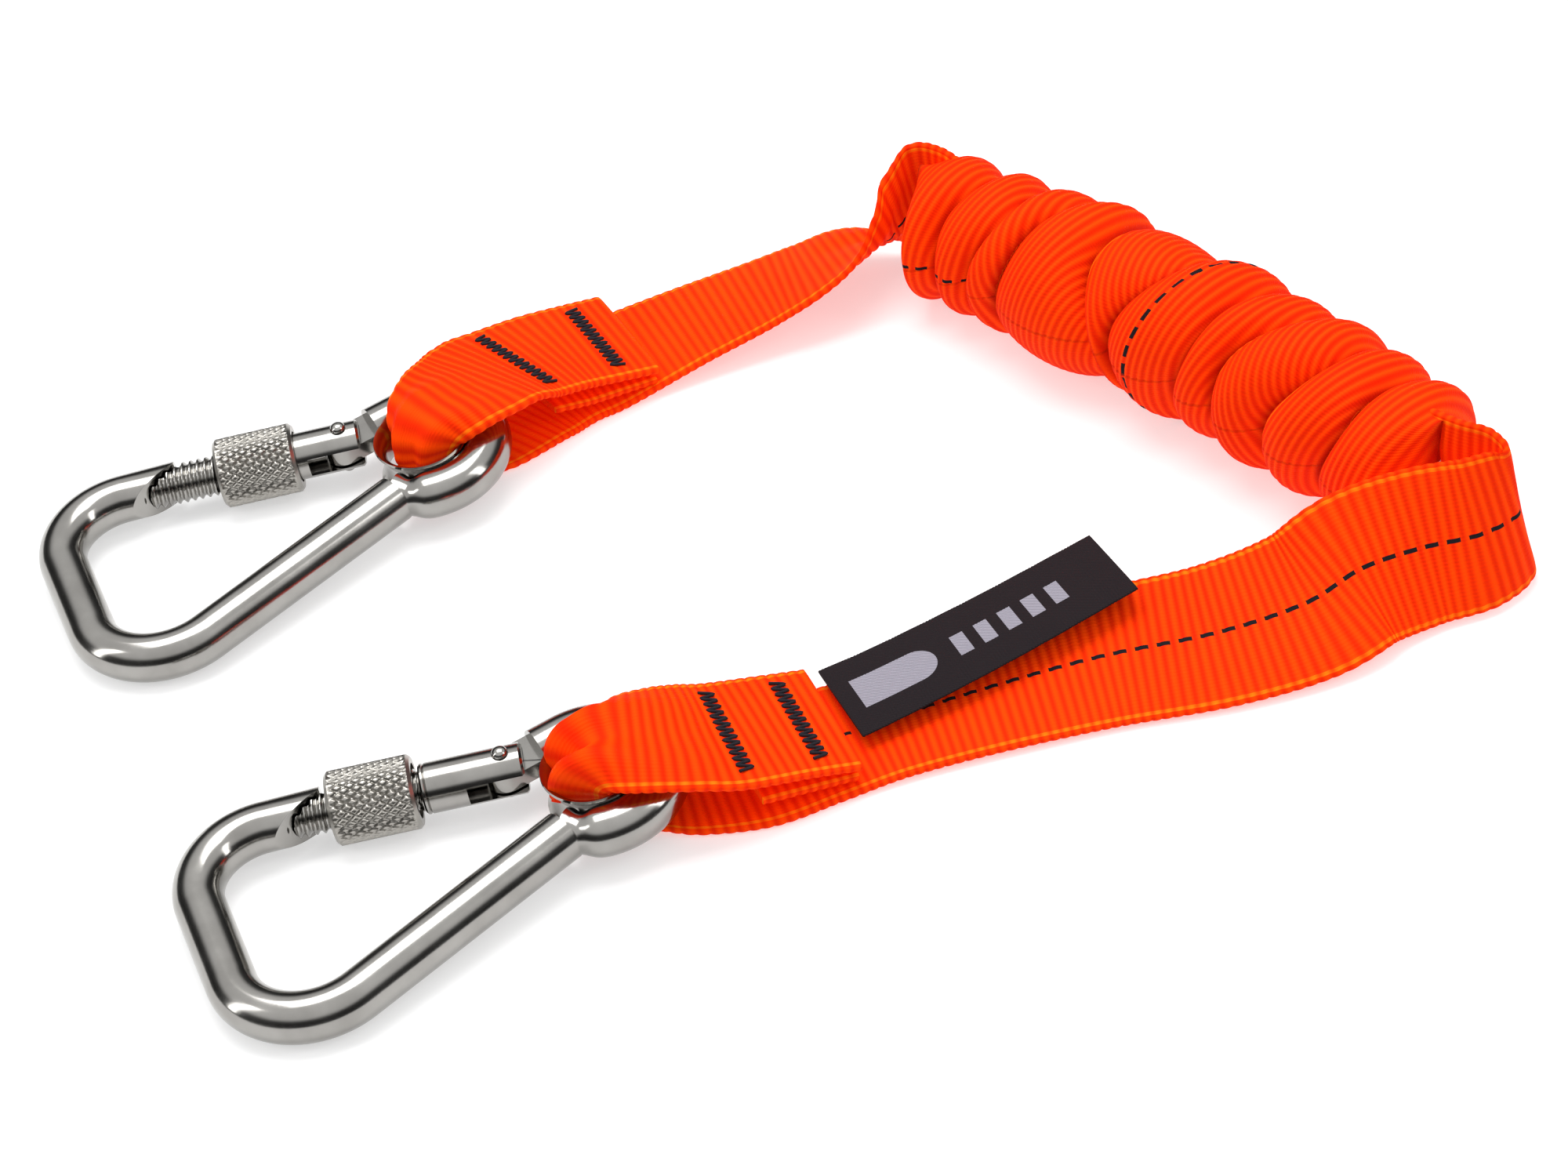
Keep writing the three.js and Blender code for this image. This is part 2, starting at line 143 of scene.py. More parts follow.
class Paint:
    """A material that is built node by node."""

    def __init__(self, name: str) -> None:
        """Start an empty material.

        Args:
            name: The material's name.
        """
        self.material = bpy.data.materials.new(name)
        self.material.use_nodes = True
        self.tree = self.material.node_tree
        self.shader = self.tree.nodes["Principled BSDF"]

    def node(self, kind: str, settings: dict[str, Any], inputs: dict[Any, Any], output: Any = 0) -> Value:
        """Add any node.

        Args:
            kind: The node's type.
            settings: Attributes, which are set before the inputs.
            inputs: Values or links, by socket name or number.
            output: The socket to return, by name or number.

        Returns:
            The chosen output.
        """
        made = self.tree.nodes.new(kind)
        for key, value in settings.items():
            setattr(made, key, value)
        for key, value in inputs.items():
            self.feed(made.inputs[key], value)
        return Value(self, made.outputs[output])

    def feed(self, socket: Any, value: Any) -> None:
        """Link or set one input.

        Args:
            socket: The input socket.
            value: A Value to link, or a plain value.
        """
        if isinstance(value, Value):
            self.tree.links.new(value.socket, socket)
        else:
            socket.default_value = value

    def attribute(self, name: str) -> Value:
        """Read a number that the mesh stores at its points."""
        return self.node("ShaderNodeAttribute", {"attribute_name": name}, {}, "Fac")

    def place(self) -> Value:
        """Read the place on the object, in metres."""
        return self.node("ShaderNodeTexCoord", {}, {}, "Object")

    def noise(self, scale: float, detail: float = 3.0, where: Value | None = None) -> Value:
        """Add a cloudy pattern from 0 to 1.

        Args:
            scale: Features per metre.
            detail: Octaves.
            where: The place it is read at, or the object's own.

        Returns:
            The pattern.
        """
        inputs = {"Vector": where or self.place(), "Scale": scale, "Detail": detail}
        return self.node("ShaderNodeTexNoise", {}, inputs, 0)

    def mix(self, share: Any, low: Any, high: Any) -> Value:
        """Mix two colours.

        Args:
            share: How much of the second one shows, from 0 to 1.
            low: The first colour.
            high: The second colour.

        Returns:
            The mixed colour.
        """
        inputs = {0: share, 6: low, 7: high}
        return self.node("ShaderNodeMix", {"data_type": "RGBA"}, inputs, 2)

    def bump(self, height: Value, distance: float, strength: float = 1.0) -> None:
        """Shape the surface by a height.

        Args:
            height: The height, from 0 to 1.
            distance: What a height of 1 is, in metres.
            strength: How much of it is used.
        """
        inputs = {"Height": height, "Distance": distance, "Strength": strength}
        self.set("Normal", self.node("ShaderNodeBump", {}, inputs))

    def set(self, name: str, value: Any) -> None:
        """Feed one of the shader's own sockets."""
        self.feed(self.shader.inputs[name], value)


class Sky(Paint):
    """The studio's surroundings: a bright ceiling over darker walls."""

    ceiling = ((0.0, 0.25), (0.50, 0.10), (0.60, 0.03), (0.71, 0.08), (0.80, 1.0), (1.0, 1.2))

    def __init__(self) -> None:
        """Build the world."""
        self.world = bpy.data.worlds.new("studio")
        self.world.use_nodes = True
        self.tree = self.world.node_tree
        self.shader = self.tree.nodes["Background"]
        way = self.node("ShaderNodeTexCoord", {}, {}, "Generated")
        height = self.node("ShaderNodeSeparateXYZ", {}, {0: way}, "Z") * 0.5 + 0.5
        ramp = self.tree.nodes.new("ShaderNodeValToRGB")
        while len(ramp.color_ramp.elements) < len(self.ceiling):
            ramp.color_ramp.elements.new(0.5)
        for stop, (place, grey) in zip(ramp.color_ramp.elements, self.ceiling):
            stop.position, stop.color = place, (grey, grey, grey, 1)
        self.feed(ramp.inputs[0], height)
        self.set("Color", Value(self, ramp.outputs[0]))
        self.set("Strength", 0.9)


@dataclass(frozen=True)
class Steel:
    """Stainless steel with a fine finish."""

    name: str
    low: Colour
    high: Colour
    roughness: float
    scratch: float  # height of the finest marks, in metres

    def material(self) -> bpy.types.Material:
        """Build the material."""
        paint = Paint(self.name)
        cloud = paint.noise(160.0, 4.0)
        grain = paint.noise(2600.0, 2.0)
        paint.set("Metallic", 1.0)
        paint.set("Base Color", paint.mix(cloud, self.low, self.high))
        paint.set("Roughness", cloud * 0.10 + (self.roughness - 0.05) + grain * 0.04)
        paint.bump(grain, self.scratch, 0.5)
        return paint.material


@dataclass(frozen=True)
class RibbedCloth:
    """Fluorescent webbing: painted shade in the rib grooves and creases, a faint painted glow, an amber line
    by each edge, and a dashed tracer.
    """

    rib: float = 1.7 * MM
    yarn: float = 0.62 * MM
    groove: Colour = (0.74, 0.012, 0.0, 1.0)
    crown: Colour = (1.0, 0.062, 0.0, 1.0)
    # the darkest red, painted as shade in the creases
    deep: Colour = (0.28, 0.002, 0.0, 1.0)
    amber: Colour = (0.90, 0.20, 0.004, 1.0)
    black: Colour = (0.012, 0.01, 0.012, 1.0)
    tracer_half: float = 0.36 * MM
    dash_share: float = 0.62
    edge_line: tuple[float, float] = (11.3 * MM, 11.9 * MM)

    def material(self) -> bpy.types.Material:
        """Build the material."""
        paint = Paint("ribbed_cloth")
        run = paint.attribute("run")
        lane = paint.attribute("lane")
        traced = paint.attribute("traced")
        weft = paint.attribute("weft")
        crown = (run * (2 * math.pi / self.rib)).sine() * 0.5 + 0.5
        yarn = (weft * (2 * math.pi / self.yarn)).sine() * 0.5 + 0.5
        cloud = paint.noise(60.0, 3.0)
        fuzz = paint.noise(5200.0, 2.0)
        # painted shade: darker in the rib grooves, lighter on the rib crowns, with a random cloud
        cloth = paint.mix(crown * 0.7 + cloud * 0.3, self.groove, self.crown)
        # painted shade: the creases between lobes are darkened towards a deep red
        cloth = paint.mix(paint.attribute("crease") * 0.75, cloth, self.deep)
        reach = abs(lane)
        edge = (reach > self.edge_line[0]) * (reach < self.edge_line[1])
        cloth = paint.mix(edge * (0.25 + crown * 0.5), cloth, self.amber)
        dash = (paint.attribute("dash") / (2 * self.rib)).fraction() < self.dash_share
        tracer = (reach < self.tracer_half) * dash * (traced > 0.5)
        paint.set("Base Color", paint.mix(tracer, cloth, self.black))
        paint.set("Roughness", 0.62 + fuzz * 0.2)
        paint.set("Specular IOR Level", 0.05)
        # painted glow: the webbing faintly emits its own colour, as if lit from within
        paint.set("Emission Color", paint.mix(tracer, cloth, self.black))
        paint.set("Emission Strength", 0.16)
        paint.bump(yarn * 0.6 + fuzz * 0.4, 0.09 * MM, 0.7)
        return paint.material


@dataclass(frozen=True)
class LabelCloth:
    """A woven black label with plain pale bars and a pale round-ended patch."""

    black: Colour = (0.014, 0.010, 0.012, 1.0)
    pale: Colour = (0.40, 0.38, 0.45, 1.0)
    twill: float = 0.5 * MM
    patch: tuple[float, float] = (3 * MM, 13 * MM)  # where its straight part runs
    patch_half: float = 3.6 * MM
    bars: tuple[float, float] = (20 * MM, 40 * MM)
    bar_half: float = 2.6 * MM
    bar_pitch: float = 4.2 * MM
    bar_share: float = 0.55

    def material(self) -> bpy.types.Material:
        """Build the material."""
        paint = Paint("label_cloth")
        run = paint.attribute("run")
        lane = paint.attribute("lane")
        twill = ((run + lane) * (2 * math.pi / self.twill)).sine() * 0.5 + 0.5
        past = (run - self.patch[1]).at_least(0.0)
        patch = (run > self.patch[0]) * (past * past + lane * lane < self.patch_half**2)
        step = ((run - self.bars[0]) / self.bar_pitch).fraction() < self.bar_share
        bars = (run > self.bars[0]) * (run < self.bars[1]) * (abs(lane) < self.bar_half) * step
        pale = (patch + bars) * (0.55 + twill * 0.4)
        paint.set("Base Color", paint.mix(pale, self.black, self.pale))
        paint.set("Roughness", 0.6 + twill * 0.15)
        paint.set("Specular IOR Level", 0.12)
        paint.bump(twill, 0.08 * MM, 0.8)
        return paint.material


@dataclass(frozen=True)
class Cloth:
    """A plain matt thread, cord cover or floor."""

    name: str
    low: Colour
    high: Colour
    grain: float  # features per metre
    relief: float  # height of the grain, in metres
    glow: float = 0.0

    def material(self) -> bpy.types.Material:
        """Build the material."""
        paint = Paint(self.name)
        grain = paint.noise(self.grain, 3.0)
        paint.set("Emission Color", self.high)
        paint.set("Emission Strength", self.glow)
        paint.set("Base Color", paint.mix(grain, self.low, self.high))
        paint.set("Roughness", 0.7 + grain * 0.2)
        paint.set("Specular IOR Level", 0.15)
        paint.bump(grain, self.relief, 0.6)
        return paint.material


class Finish(Enum):
    """The finishes that pieces are dressed in."""

    STEEL = Steel("polished_steel", (0.25, 0.24, 0.225, 1), (0.42, 0.41, 0.39, 1), 0.14, 0.004 * MM)
    TURNED = Steel("turned_steel", (0.27, 0.26, 0.235, 1), (0.43, 0.41, 0.38, 1), 0.27, 0.02 * MM)
    SPRING = Steel("spring_steel", (0.28, 0.28, 0.29, 1), (0.42, 0.42, 0.44, 1), 0.32, 0.01 * MM)
    WEBBING = RibbedCloth()
    LABEL = LabelCloth()
    THREAD = Cloth("tack_thread", (0.008, 0.007, 0.01, 1), (0.03, 0.027, 0.035, 1), 4000.0, 0.05 * MM)
    CORE = Cloth("core_cover", (0.62, 0.58, 0.48, 1), (0.82, 0.78, 0.68, 1), 2500.0, 0.1 * MM)
    FLOOR = Cloth("pale_floor", (0.56, 0.56, 0.56, 1), (0.58, 0.58, 0.58, 1), 30.0, 0.01 * MM, 0.85)


class Wardrobe:
    """Builds each finish once."""

    def __init__(self) -> None:
        """Start empty."""
        self.made: dict[Finish, bpy.types.Material] = {}

    def dress(self, piece: Piece, finish: Finish) -> None:
        """Give a piece a finish.

        Args:
            piece: The piece.
            finish: Its finish.
        """
        if finish not in self.made:
            self.made[finish] = finish.value.material()
        piece.data.materials.clear()
        piece.data.materials.append(self.made[finish])

    def settle(self, piece: Piece, finish: Finish, slot: str, body: str, *nodes: str) -> None:
        """Dress a piece, and tie it to its body.

        Args:
            piece: The piece.
            finish: Its finish.
            slot: Not used.
            body: Its body.
            nodes: The CAD nodes that it stands for.
        """
        self.dress(piece, finish)
        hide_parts(*nodes)
        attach(piece, body)
        LOG.info("%s: %d faces", piece.name, len(piece.data.polygons))


# ---- mesh tools -----------------------------------------------------------------------


def mesh_piece(name: str, points: Array, faces: Faces, sharp: float = 40.0) -> Piece:
    """Make a smooth shaded object.

    Args:
        name: The piece's name.
        points: Its points, in millimetres.
        faces: Its faces.
        sharp: The angle, in degrees, from which an edge is sharp.

    Returns:
        The object.
    """
    data = bpy.data.meshes.new(name)
    data.from_pydata((points * MM).tolist(), [], faces)
    data.shade_smooth()
    data.set_sharp_from_angle(angle=math.radians(sharp))
    piece = bpy.data.objects.new(name, data)
    bpy.context.scene.collection.objects.link(piece)
    return piece


def grid_faces(rows: int, columns: int, closed_rows: bool = False, start: int = 0) -> Faces:
    """Make the faces of a grid that closes on itself across.

    Args:
        rows: Rows of points.
        columns: Points in a row, which is a ring.
        closed_rows: Join the last row to the first; else both ends get a cap.
        start: The number of the first point.

    Returns:
        The faces.
    """
    faces: Faces = []
    for i in range(rows if closed_rows else rows - 1):
        near, far = start + i * columns, start + (i + 1) % rows * columns
        for k in range(columns):
            after = (k + 1) % columns
            faces.append((near + k, near + after, far + after, far + k))
    if not closed_rows:
        faces.append(tuple(start + k for k in reversed(range(columns))))
        faces.append(tuple(start + (rows - 1) * columns + k for k in range(columns)))
    return faces


def angles_round(sides: int) -> Array:
    """Share a full turn between sides."""
    return np.arange(sides) * 2 * math.pi / sides


def spoke(angle: float) -> Array:
    """Point at an angle in the plane, with length 1."""
    return np.array([math.cos(angle), math.sin(angle)])


def rings_along_x(rows: Sequence[tuple[float, Array]], shift: float = 0.0) -> Array:
    """Place rings of varying radius along X.

    Args:
        rows: Each ring's place along X, and its radius at each column.
        shift: How far all of them move along X.

    Returns:
        The points, ring by ring.
    """
    turn = angles_round(len(rows[0][1]))
    columns = [(x + shift, r, a) for x, radii in rows for r, a in zip(radii, turn)]
    return np.array([[x, r * math.cos(a), r * math.sin(a)] for x, r, a in columns])


def lathe(name: str, profile: Rows, sides: int, closed: bool) -> Piece:
    """Turn a profile of radius and height about Z.

    Args:
        name: The piece's name.
        profile: Radius and height of each corner.
        sides: Sides of the turned shape.
        closed: The profile closes on itself, as a ring's does.

    Returns:
        The object.
    """
    points = rings_along_x([(h, np.full(sides, r)) for r, h in profile])[:, [1, 2, 0]]
    return mesh_piece(name, points, grid_faces(len(profile), sides, closed), CUT_SHARP)


def smooth_rows(rows: Rows, per_span: int) -> Array:
    """Run a smooth curve through rows of numbers.

    Args:
        rows: The rows.
        per_span: Steps between two rows.

    Returns:
        The curve's rows.
    """
    given = np.array(rows, float)
    padded = np.vstack([given[:1], given, given[-1:]])
    out = []
    for a, b, c, d in zip(padded, padded[1:], padded[2:], padded[3:]):
        for k in range(per_span):
            t = k / per_span
            square, cube = 2 * a - 5 * b + 4 * c - d, 3 * b - a - 3 * c + d
            out.append(0.5 * (2 * b + (c - a) * t + square * t**2 + cube * t**3))
    return np.array([*out, given[-1]])


def even_rows(rows: Rows, step: float) -> tuple[Array, Array]:
    """Resample a smooth curve to even steps.

    Args:
        rows: Rows whose first three numbers are a place.
        step: The step, in millimetres.

    Returns:
        The rows, and how far along each one is.
    """
    fine = smooth_rows(rows, 24)
    gone = np.concatenate([[0], np.cumsum(np.linalg.norm(np.diff(fine[:, :3], axis=0), axis=1))])
    along = np.linspace(0, gone[-1], int(gone[-1] / step) + 1)
    return np.stack([np.interp(along, gone, column) for column in fine.T], axis=1), along


def unit(vectors: Array) -> Array:
    """Scale vectors to length 1."""
    return vectors / np.linalg.norm(vectors, axis=-1, keepdims=True)


def store(piece: Piece, name: str, values: Array) -> None:
    """Store a number at each of a piece's points for its material to read."""
    layer = piece.data.attributes.new(name, "FLOAT", "POINT")
    layer.data.foreach_set("value", np.asarray(values, np.float32))


def combine(piece: Piece, operation: str, others: Sequence[Piece]) -> None:
    """Join other shapes to a piece, or cut them out of it, and delete them.

    Args:
        piece: The piece that changes.
        operation: "UNION" or "DIFFERENCE".
        others: The shapes.
    """
    for other in others:
        step = piece.modifiers.new("step", "BOOLEAN")
        step.operation = operation
        step.solver = "EXACT"
        step.object = other
    bpy.context.view_layer.update()
    shown = piece.evaluated_get(bpy.context.evaluated_depsgraph_get())
    done = bpy.data.meshes.new_from_object(shown)
    piece.modifiers.clear()
    piece.data = done
    for other in others:
        bpy.data.objects.remove(other)
    done.set_sharp_from_angle(angle=math.radians(CUT_SHARP))


def tube(name: str, route: Array, radius: float, sides: int, reference: Array) -> Piece:
    """Make a thin round thread or wire along a route.

    Args:
        name: The piece's name.
        route: Its middle, in millimetres.
        radius: Its radius.
        sides: Its sides.
        reference: A direction that the route never follows.

    Returns:
        The tube.
    """
    heading = unit(np.gradient(route, axis=0))
    side = unit(np.cross(heading, reference))
    rise = np.cross(side, heading)
    turn = angles_round(sides)[None, :, None]
    points = route[:, None] + radius * (side[:, None] * np.cos(turn) + rise[:, None] * np.sin(turn))
    return mesh_piece(name, points.reshape(-1, 3), grid_faces(len(route), sides))


def block(low: Sequence[float], high: Sequence[float], turn: float = 0.0) -> Piece:
    """Make a cutting block.

    Args:
        low: Its lowest corner.
        high: Its highest corner.
        turn: Its turn about Z, in radians.

    Returns:
        The block.
    """
    (x0, y0, z0), (x1, y1, z1) = low, high
    return prism([(x0, y0), (x1, y0), (x1, y1), (x0, y1)], z0, z1, turn)


def prism(outline: Rows, low: float, high: float, turn: float = 0.0) -> Piece:
    """Make a cutting prism.

    Args:
        outline: Its corners, anticlockwise.
        low: Its bottom.
        high: Its top.
        turn: Its turn about Z, in radians.

    Returns:
        The prism.
    """
    c, s = math.cos(turn), math.sin(turn)
    points = np.array([[x * c - y * s, x * s + y * c, z] for z in (low, high) for x, y in outline])
    return mesh_piece("cutter", points, grid_faces(2, len(outline)))


# ---- carabiners -----------------------------------------------------------------------


@dataclass
class Carabiner:
    """A bent wire snap hook with a hinged, threaded gate and a screw sleeve."""

    name: str
    pin: tuple[float, float]
    turn: float
    sleeve_x: float
    wardrobe: Wardrobe
    pin_height: float = 6.86
    rise: tuple[float, float] = (0.0339, 0.0418)
    wire: float = 4.0
    nose: tuple[float, float] = (-28.2, -0.2)
    corners: tuple = ((-51.4, -1.4), (-40.0, -48.9))
    bends: tuple[float, float] = (11.3, 12.3)
    eye: tuple[float, float] = (13.5, -6.0)
    eye_r: float = 10.8
    neck: float = math.radians(-120)
    neck_out: float = 0.7
    neck_pinch: float = 0.2
    pinch_at: float = 2.4  # from the ring's start
    pinch_width: float = 1.7
    tongue: tuple[float, float] = (3.2, 1.5)  # half its width and half its thickness
    tongue_length: float = 5.8
    tongue_clear: float = -2.9  # where it stops short of the plunger
    tongue_past: float = 4.2  # how far its wire runs past the pin
    nose_top: float = 1.0  # where the nose's slanted cut starts
    nose_slope: float = 0.7
    gate_profile: tuple = ((3.2, 3.6), (2.8, 4), (-11.9, 4), (-12.1, 3.8), (-12.3, 4), (-12.6, 4))
    gate_cut: tuple = ((-27.3, 1.16), (-27.3, 8), (-37.2, 8), (-37.2, -5.77))
    gate_slot: tuple[float, float] = (-6, 1.8)  # where it starts, and half its height
    shoulder_x: float = -12.9
    thread_end: float = -34.5
    thread_r: float = 3.4
    thread_pitch: float = 1.3
    thread_depth: float = 0.5
    sleeve_r: float = 5.85
    sleeve_length: float = 13.4
    sleeve_bevel: float = 0.5
    sleeve_bore: float = 3.75
    counterbore: tuple[float, float] = (7.6, 4.35)  # where it starts, and its radius
    knurls: int = 26
    knurl_lean: float = math.radians(35)
    knurl_fade: float = 0.6
    knurl_depth: float = 0.32
    spring_x: float = -11.35
    spring_length: float = 3.3
    spring_r: float = 1.3
    spring_wire: float = 0.25
    spring_turns: int = 5
    plunger_travel: float = 0.45

    def seat(self) -> Matrix:
        """Place the carabiner's own axes in the frame."""
        spin = Quaternion((0, 0, 1), math.radians(self.turn))
        normal = (spin @ Vector((-self.rise[0], -self.rise[1], 1))).normalized()
        tilt = Vector((0, 0, 1)).rotation_difference(normal)
        place = Vector((*self.pin, self.pin_height)) - Vector(ORIGIN)
        return Matrix.Translation(place * MM) @ (tilt @ spin).to_matrix().to_4x4()

    def settle(self, piece: Piece, node: str, body: str, finish: Finish, slot: str) -> None:
        """Put a piece in place, and tie it to its body.

        Args:
            piece: The piece, in the carabiner's own axes.
            node: The end of the name of the CAD node that it stands for.
            body: The end of the name of its body.
            finish: Its finish.
            slot: Passed on, and not used.
        """
        piece.data.transform(self.seat())
        piece.name = f"{self.name}_{node}_fine"
        self.wardrobe.settle(piece, finish, slot, f"{self.name}_{body}", f"{self.name}_{node}")

    def wire_route(self) -> list[Array]:
        """Lay out the wire's centre: nose to neck, and neck to tongue."""
        neck_end = np.array(self.eye) + (self.eye_r + self.neck_out) * spoke(self.neck)
        points = [np.array(p) for p in (self.nose, *self.corners, neck_end)]
        basket = [points[0]]
        for radius, before, corner, after in zip(self.bends, points, points[1:], points[2:]):
            back, on = unit(before - corner), unit(after - corner)
            half = math.acos(back @ on) / 2
            centre = corner + unit(back + on) * radius / math.sin(half)
            start, end = (corner + way * radius / math.tan(half) - centre for way in (back, on))
            first = math.atan2(start[1], start[0])
            swing = (math.atan2(end[1], end[0]) - first + math.pi) % (2 * math.pi) - math.pi
            angles = first + swing * np.linspace(0, 1, 28)
            basket += [centre + radius * spoke(a) for a in angles]
        basket.append(points[-1])
        angles = np.linspace(self.neck, self.tongue_angle(), 72)
        ring = [np.array(self.eye) + self.eye_r * spoke(a) for a in angles]
        reach = np.linalg.norm(ring[-1])
        return [np.array(basket), np.array([*ring, -ring[-1] / reach * self.tongue_past])]

    def tongue_angle(self) -> float:
        """Find where the line from the pin touches the eye's centreline."""
        return math.atan2(-self.eye[1], -self.eye[0]) - math.acos(self.eye_r / math.hypot(*self.eye))

    def rod(self, route: Array, pinch: float, sides: int = 40) -> Piece:
        """Make the round wire along a flat route.

        Args:
            route: Its centre.
            pinch: How much thinner it is just after its start.
            sides: Its sides.

        Returns:
            The rod.
        """
        gone = np.concatenate([[0], np.cumsum(np.linalg.norm(np.diff(route, axis=0), axis=1))])
        dip = np.exp(-(((gone - self.pinch_at) / self.pinch_width) ** 2))
        radius = self.wire * (1 - pinch * dip)[:, None]
        legs = unit(np.diff(route, axis=0))
        way = unit(np.vstack([legs[:1], legs[:-1] + legs[1:], legs[-1:]]))
        turn = angles_round(sides)
        side = np.stack([way[:, 1], -way[:, 0]], axis=1)
        flat = route[:, None, :] + side[:, None, :] * (radius * np.cos(turn))[..., None]
        points = np.concatenate([flat, (radius * np.sin(turn))[..., None]], axis=2).reshape(-1, 3)
        return mesh_piece("rod", points, grid_faces(len(route), sides))

    def build_body(self) -> None:
        """Bend the wire, cut its nose and flatten its tongue."""
        basket_route, ring_route = self.wire_route()
        basket, ring = self.rod(basket_route, 0.0), self.rod(ring_route, self.neck_pinch)
        combine(basket, "UNION", [ring])
        touch = np.array(self.eye) + self.eye_r * spoke(self.tongue_angle())
        line = math.atan2(touch[1], touch[0])
        tip, top, run, far = self.nose[0], self.nose_top, 9.0, 9.0
        low = top - self.nose_slope * run
        wide, thick = self.tongue
        arc = [math.radians(degrees) for degrees in range(270, 89, -10)]
        rim = [(wide * math.cos(a), wide * math.sin(a)) for a in arc]
        end = self.tongue_length
        # the tenths keep the end faces of cutters apart
        cutters = [
            prism([(tip, top), (tip - run, low), (tip + 1, low), (tip + 1, top)], -8, 8),
            block((-far, -far, thick), (end, far, far), line),
            block((-far, -far, -far), (end, far, -thick), line),
            block((-far, wide, -far - 0.1), (end, far, far + 0.1), line),
            block((-far, -far, -far - 0.1), (end, -wide, far + 0.1), line),
            block((-far, -far, -far - 0.2), (self.tongue_clear, far, far + 0.2)),
            prism([(0, far), (-far, far), (-far, -far), (0, -far), *rim], -far - 0.3, far + 0.3, line),
        ]
        combine(basket, "DIFFERENCE", cutters)
        self.settle(basket, "hook_body", "carabiner", Finish.STEEL, "steel")

    def build_gate(self) -> None:
        """Turn the gate, with a helical thread on its front half."""
        sides = 56
        turn = angles_round(sides)
        profile = (*self.gate_profile, (self.shoulder_x, 3.7))
        rows = [(x, np.full(sides, r)) for x, r in profile]
        for x in np.arange(self.shoulder_x - 0.05, self.thread_end, -0.13):
            wave = np.abs(((x / self.thread_pitch + turn / (2 * math.pi)) % 1) * 2 - 1)
            rows.append((x, self.thread_r - self.thread_depth * np.clip(wave * 1.5 - 0.25, 0, 1)))
        gate = mesh_piece("rod", rings_along_x(rows), grid_faces(len(rows), sides))
        start, half = self.gate_slot
        combine(gate, "DIFFERENCE", [prism(self.gate_cut, -8, 8), block((start, -9, -half), (9, 9, half))])
        self.settle(gate, "gate", "gate", Finish.STEEL, "steel")

    def build_sleeve(self) -> None:
        """Cut a diamond knurl into the screw sleeve."""
        sides, bevel, length, outer = 312, self.sleeve_bevel, self.sleeve_length, self.sleeve_r
        share = angles_round(sides) / (2 * math.pi)
        lead = 2 * math.pi * outer / self.knurls / math.tan(self.knurl_lean)
        rows = [(0.0, np.full(sides, self.sleeve_bore)), (0.0, np.full(sides, outer - bevel))]
        for x in np.linspace(bevel, length - bevel, 96):
            ways = [np.abs(((self.knurls * share + sign * x / lead) % 1) * 2 - 1) for sign in (1, -1)]
            edge = min(1.0, (x - bevel) / self.knurl_fade, (length - bevel - x) / self.knurl_fade)
            rows.append((x, outer - edge * self.knurl_depth * np.clip(np.maximum(*ways) * 2 - 1, 0, 1)))
        step, wide = self.counterbore
        ends = [(length, outer - bevel), (length, wide), (step, wide), (step, self.sleeve_bore)]
        rows += [(x, np.full(sides, r)) for x, r in ends]
        faces = grid_faces(len(rows), sides, True)
        sleeve = mesh_piece("sleeve", rings_along_x(rows, self.sleeve_x), faces)
        self.settle(sleeve, "screw_sleeve", "sleeve", Finish.TURNED, "knurled_steel")

    def build_small_pieces(self) -> None:
        """Turn the hinge pin and the thimble."""
        half = [(1.0, 4.05), (1.3, 4.15), (1.25, 4.45), (0.95, 4.8), (0.45, 5.0), (0.02, 5.05)]
        pin = lathe("pin", [(r, -z) for r, z in reversed(half)] + half, 28, False)
        self.settle(pin, "hinge_pin", "carabiner", Finish.STEEL, "steel")
        outside = [(6.5, 0), (6.72, 1.2), (7.35, 2.5), (8.0, 3.3)]
        inside = [(7.9, 3.75), (7.0, 3.1), (6.3, 1.8), (6.05, 0.6)]
        upper = outside + inside
        ring = lathe("ring", upper + [(r, -z) for r, z in reversed(upper[1:])], 96, True)
        ring.data.transform(Matrix.Translation(Vector((*self.eye, 0)) * MM))
        self.settle(ring, "thimble", "carabiner", Finish.STEEL, "steel")

    def build_spring(self) -> None:
        """Wind the gate spring."""
        share = np.linspace(0, 1, 240)
        turn = share * 2 * math.pi * self.spring_turns
        coil = self.spring_r * np.stack([np.cos(turn), np.sin(turn)], axis=1)
        route = np.column_stack([self.spring_x + share * self.spring_length, coil])
        spring = tube("spring", route, self.spring_wire, 8, np.array([1.0, 0.0, 0.0]))
        self.settle(spring, "gate_spring", "gate", Finish.SPRING, "spring_steel")
        seat = self.seat()
        foot = seat @ (Vector((self.spring_x - self.spring_wire, 0, 0)) * MM)
        along = seat.to_3x3() @ Vector((1, 0, 0))
        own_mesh(spring)

    def build(self, nodes: dict[str, Piece]) -> None:
        """Build every piece.

        Args:
            nodes: The CAD nodes; the plunger stays as it is.
        """
        self.build_body()
        self.build_gate()
        self.build_sleeve()
        self.build_small_pieces()
        self.build_spring()
        self.wardrobe.dress(nodes[f"{self.name}_plunger"], Finish.STEEL)


# ---- webbing --------------------------------------------------------------------------

